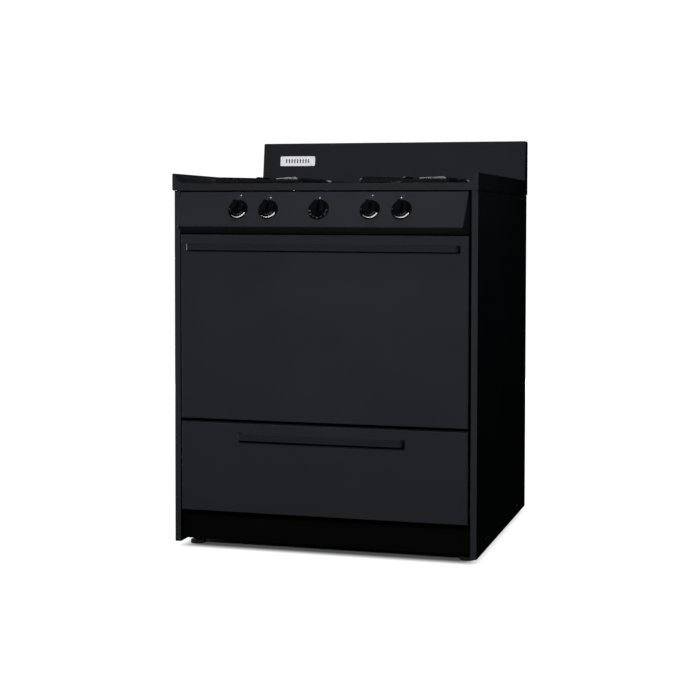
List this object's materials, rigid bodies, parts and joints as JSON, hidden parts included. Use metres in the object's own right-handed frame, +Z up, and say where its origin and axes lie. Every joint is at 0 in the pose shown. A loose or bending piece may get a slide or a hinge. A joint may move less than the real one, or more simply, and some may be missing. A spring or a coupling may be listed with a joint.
{
  "type": "freestanding gas range",
  "caption": "Freestanding gas range with a lift-up cooktop, slanted knob panel, drop-down oven door, pull-out broiler drawer and a low backguard.",
  "frame": {"origin": "on the floor, under the centre of the bounding box", "axes": "+X to the user's right, +Y to the rear, +Z up; the oven door and knobs face -Y"},
  "size_m": [0.76, 0.6988, 1.021],
  "materials": {
    "charcoal_enamel": "gloss",
    "cabinet_enamel": "gloss",
    "black_enamel": "gloss",
    "cooktop_enamel": "gloss",
    "handle_black": "gloss",
    "knob_black": "gloss",
    "badge_silver": "satin",
    "galvanised": "satin",
    "bright_steel": "satin",
    "cast_aluminium": "satin",
    "brass_fitting": "satin",
    "grate_enamel": "gloss",
    "oven_enamel": "gloss",
    "fibreglass": "matte",
    "silicone": "matte",
    "chrome_wire": "polished",
    "zinc_screw": "satin",
    "ceramic_white": "matte",
    "rubber_foot": "matte"
  },
  "bodies": {
    "cabinet": {"backguard": "charcoal_enamel", "backguard_rear_cover": "galvanised", "badge_plate": "badge_silver", "base_rails": "galvanised", "body_screws": "zinc_screw", "burner_box_floor": "galvanised", "burner_caps": "grate_enamel", "burner_valves": "brass_fitting", "control_panel": "charcoal_enamel", "cooktop_hinge_brackets": "galvanised", "door_gasket": "silicone", "drawer_tracks": "galvanised", "flame_spreader": "galvanised", "flue_duct": "galvanised", "front_frame": "black_enamel", "gas_manifold": "bright_steel", "gas_regulator": "cast_aluminium", "hinge_receivers": "bright_steel", "igniters": "ceramic_white", "kick_panel": "black_enamel", "knob_bezels": "black_enamel", "left_side_panel": "cabinet_enamel", "leveling_legs": "rubber_foot", "oven_bottom_panel": "oven_enamel", "oven_burner": "bright_steel", "oven_insulation": "fibreglass", "oven_liner": "oven_enamel", "oven_thermostat": "cast_aluminium", "rack_supports": "oven_enamel", "rear_panel": "galvanised", "right_side_panel": "cabinet_enamel", "thermostat_bulb": "bright_steel", "top_burners": "cast_aluminium"},
    "oven_door": {"door_outer_panel": "charcoal_enamel", "door_inner_panel": "oven_enamel", "door_insulation": "fibreglass", "door_handle": "handle_black", "door_hinge_arms": "bright_steel"},
    "broiler_drawer": {"drawer_front": "charcoal_enamel", "drawer_tray": "galvanised", "drawer_handle": "handle_black"},
    "broiler_pan": {"broiler_pan": "oven_enamel", "broiler_grid": "oven_enamel"},
    "cooktop": {"cooktop": "cooktop_enamel"},
    "grate_left_front": {"grate_left_front": "grate_enamel"},
    "grate_left_rear": {"grate_left_rear": "grate_enamel"},
    "grate_right_front": {"grate_right_front": "grate_enamel"},
    "grate_right_rear": {"grate_right_rear": "grate_enamel"},
    "rack_lower": {"oven_rack_lower": "chrome_wire"},
    "rack_upper": {"oven_rack_upper": "chrome_wire"},
    "stem_left_front": {"valve_stem_left_front": "zinc_screw"},
    "knob_left_front": {"knob_left_front": "knob_black"},
    "stem_left_rear": {"valve_stem_left_rear": "zinc_screw"},
    "knob_left_rear": {"knob_left_rear": "knob_black"},
    "stem_right_rear": {"valve_stem_right_rear": "zinc_screw"},
    "knob_right_rear": {"knob_right_rear": "knob_black"},
    "stem_right_front": {"valve_stem_right_front": "zinc_screw"},
    "knob_right_front": {"knob_right_front": "knob_black"},
    "stem_thermostat": {"valve_stem_thermostat": "zinc_screw"},
    "knob_thermostat": {"knob_thermostat": "knob_black"}
  },
  "joints": [
    {"name": "oven_door_hinge", "type": "hinge", "parent": "cabinet", "child": "oven_door", "pos_m": [0, -0.28464, 0.327], "axis": [1, 0, 0], "range_deg": [0, 87]},
    {"name": "broiler_drawer_slide", "type": "slide", "parent": "cabinet", "child": "broiler_drawer", "axis": [0, -1, 0], "range_m": [0, 0.32]},
    {"name": "broiler_pan_lift", "type": "slide", "parent": "broiler_drawer", "child": "broiler_pan", "axis": [0, 0, 1], "range_m": [0, 0.03]},
    {"name": "cooktop_hinge", "type": "hinge", "parent": "cabinet", "child": "cooktop", "pos_m": [0, 0.29536, 0.898], "axis": [-1, 0, 0], "range_deg": [0, 25]},
    {"name": "rack_lower_slide", "type": "slide", "parent": "cabinet", "child": "rack_lower", "axis": [0, -1, 0], "range_m": [0, 0.014]},
    {"name": "rack_upper_slide", "type": "slide", "parent": "cabinet", "child": "rack_upper", "axis": [0, -1, 0], "range_m": [0, 0.014]},
    {"name": "grate_left_front_lift", "type": "slide", "parent": "cooktop", "child": "grate_left_front", "axis": [0, 0, 1], "range_m": [0, 0.06]},
    {"name": "grate_left_rear_lift", "type": "slide", "parent": "cooktop", "child": "grate_left_rear", "axis": [0, 0, 1], "range_m": [0, 0.06]},
    {"name": "grate_right_front_lift", "type": "slide", "parent": "cooktop", "child": "grate_right_front", "axis": [0, 0, 1], "range_m": [0, 0.06]},
    {"name": "grate_right_rear_lift", "type": "slide", "parent": "cooktop", "child": "grate_right_rear", "axis": [0, 0, 1], "range_m": [0, 0.06]},
    {"name": "left_front_push", "type": "slide", "parent": "cabinet", "child": "stem_left_front", "axis": [0, 0.9152, -0.4031], "range_m": [0, 0.003], "stiffness_N_per_m": 1200, "springref_m": -0.004},
    {"name": "left_front_turn", "type": "hinge", "parent": "stem_left_front", "child": "knob_left_front", "pos_m": [-0.202, -0.31758, 0.827], "axis": [0, -0.9152, 0.4031], "range_deg": [0, 240]},
    {"name": "left_rear_push", "type": "slide", "parent": "cabinet", "child": "stem_left_rear", "axis": [0, 0.9152, -0.4031], "range_m": [0, 0.003], "stiffness_N_per_m": 1200, "springref_m": -0.004},
    {"name": "left_rear_turn", "type": "hinge", "parent": "stem_left_rear", "child": "knob_left_rear", "pos_m": [-0.126, -0.31758, 0.827], "axis": [0, -0.9152, 0.4031], "range_deg": [0, 240]},
    {"name": "right_rear_push", "type": "slide", "parent": "cabinet", "child": "stem_right_rear", "axis": [0, 0.9152, -0.4031], "range_m": [0, 0.003], "stiffness_N_per_m": 1200, "springref_m": -0.004},
    {"name": "right_rear_turn", "type": "hinge", "parent": "stem_right_rear", "child": "knob_right_rear", "pos_m": [0.126, -0.31758, 0.827], "axis": [0, -0.9152, 0.4031], "range_deg": [0, 240]},
    {"name": "right_front_push", "type": "slide", "parent": "cabinet", "child": "stem_right_front", "axis": [0, 0.9152, -0.4031], "range_m": [0, 0.003], "stiffness_N_per_m": 1200, "springref_m": -0.004},
    {"name": "right_front_turn", "type": "hinge", "parent": "stem_right_front", "child": "knob_right_front", "pos_m": [0.202, -0.31758, 0.827], "axis": [0, -0.9152, 0.4031], "range_deg": [0, 240]},
    {"name": "thermostat_push", "type": "slide", "parent": "cabinet", "child": "stem_thermostat", "axis": [0, 0.9152, -0.4031], "range_m": [0, 0.003], "stiffness_N_per_m": 1200, "springref_m": -0.004},
    {"name": "thermostat_turn", "type": "hinge", "parent": "stem_thermostat", "child": "knob_thermostat", "pos_m": [0, -0.31758, 0.827], "axis": [0, -0.9152, 0.4031], "range_deg": [0, 270]}
  ]
}
